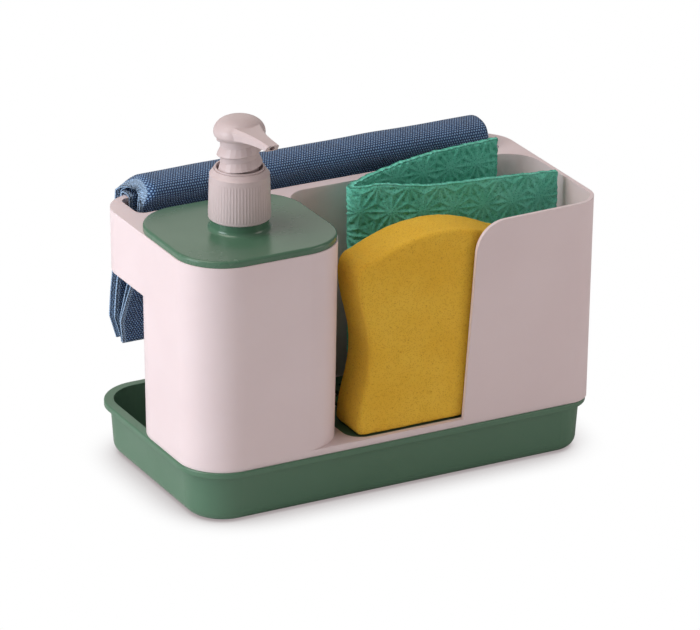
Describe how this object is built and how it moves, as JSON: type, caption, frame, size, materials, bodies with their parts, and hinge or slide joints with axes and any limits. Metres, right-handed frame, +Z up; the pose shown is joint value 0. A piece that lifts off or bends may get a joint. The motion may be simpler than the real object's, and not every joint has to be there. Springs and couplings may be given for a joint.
{
  "type": "soap pump caddy",
  "caption": "Sink caddy: drip tray, white moulded box with a pump-top soap tank, an open sponge bay and a towel rail, with its sponge, sponge cloth and towel.",
  "frame": {"origin": "under the middle of the whole object, on the surface it stands on", "axes": "+X to the right seen from the front, -Y to the front, +Z up"},
  "size_m": [0.249, 0.1408, 0.2176],
  "materials": {
    "green_plastic": "satin moulded polypropylene",
    "white_plastic": "satin moulded polypropylene",
    "green_lid_plastic": "semi-gloss moulded polypropylene",
    "seal_rubber": "smooth thermoplastic elastomer",
    "gasket_foam": "foamed polyethylene",
    "pump_white": "satin moulded polypropylene",
    "natural_plastic": "natural polyethylene",
    "steel": "drawn stainless steel",
    "sponge_foam": "open cell foam",
    "cellulose_cloth": "embossed cellulose",
    "towel_cloth": "two-tone woven microfibre"
  },
  "bodies": {
    "tray": {"drip_tray": "green_plastic"},
    "caddy": {"caddy_body": "white_plastic", "drain_grate": "green_plastic"},
    "lid": {"tank_lid": "green_lid_plastic", "lid_seal": "seal_rubber"},
    "pump_unit": {"neck_gasket": "gasket_foam", "pump_housing": "natural_plastic", "pump_chaplet": "pump_white", "dip_tube": "natural_plastic", "return_spring": "steel"},
    "collar": {"pump_collar": "pump_white"},
    "piston": {"pump_piston": "natural_plastic"},
    "head": {"pump_head": "pump_white", "pump_stem": "pump_white", "piston_seat": "pump_white"},
    "ball": {"inlet_ball": "steel"},
    "sponge": {"sponge": "sponge_foam"},
    "sponge_cloth": {"sponge_cloth": "cellulose_cloth"},
    "towel": {"towel": "towel_cloth"}
  },
  "joints": [
    {"name": "caddy_lift", "type": "slide", "parent": "tray", "child": "caddy", "axis": [0, 0, 1], "range_m": [0, 0.05]},
    {"name": "lid_lift", "type": "slide", "parent": "caddy", "child": "lid", "axis": [0, 0, 1], "range_m": [0, 0.15]},
    {"name": "pump_rise", "type": "slide", "parent": "lid", "child": "pump_unit", "axis": [0, 0, 1], "range_m": [0, 0.0064]},
    {"name": "collar_turn", "type": "hinge", "parent": "pump_unit", "child": "collar", "pos_m": [-0.0773, -0.02508, 0.17], "axis": [0, 0, 1], "range_deg": [0, 540]},
    {"name": "pump_press", "type": "slide", "parent": "pump_unit", "child": "piston", "axis": [0, 0, 1], "range_m": [-0.0085, 0], "stiffness_N_per_m": 400, "springref_m": 0.003, "deforming": ["return_spring"]},
    {"name": "spout_swivel", "type": "hinge", "parent": "piston", "child": "head", "pos_m": [-0.0773, -0.02508, 0.17], "axis": [0, 0, 1], "continuous": true},
    {"name": "inlet_ball_lift", "type": "slide", "parent": "pump_unit", "child": "ball", "axis": [0, 0, 1], "range_m": [0, 0.002]},
    {"name": "sponge_lift", "type": "slide", "parent": "caddy", "child": "sponge", "axis": [0, 0, 1], "range_m": [0, 0.12]},
    {"name": "sponge_cloth_lift", "type": "slide", "parent": "caddy", "child": "sponge_cloth", "axis": [0, 0, 1], "range_m": [0, 0.13]},
    {"name": "towel_lift", "type": "slide", "parent": "caddy", "child": "towel", "axis": [0, 0, 1], "range_m": [0, 0.1]}
  ],
  "couplings": [
    {"joint": "pump_rise", "follows": "collar_turn", "m_per_rad": 0.00067375}
  ]
}
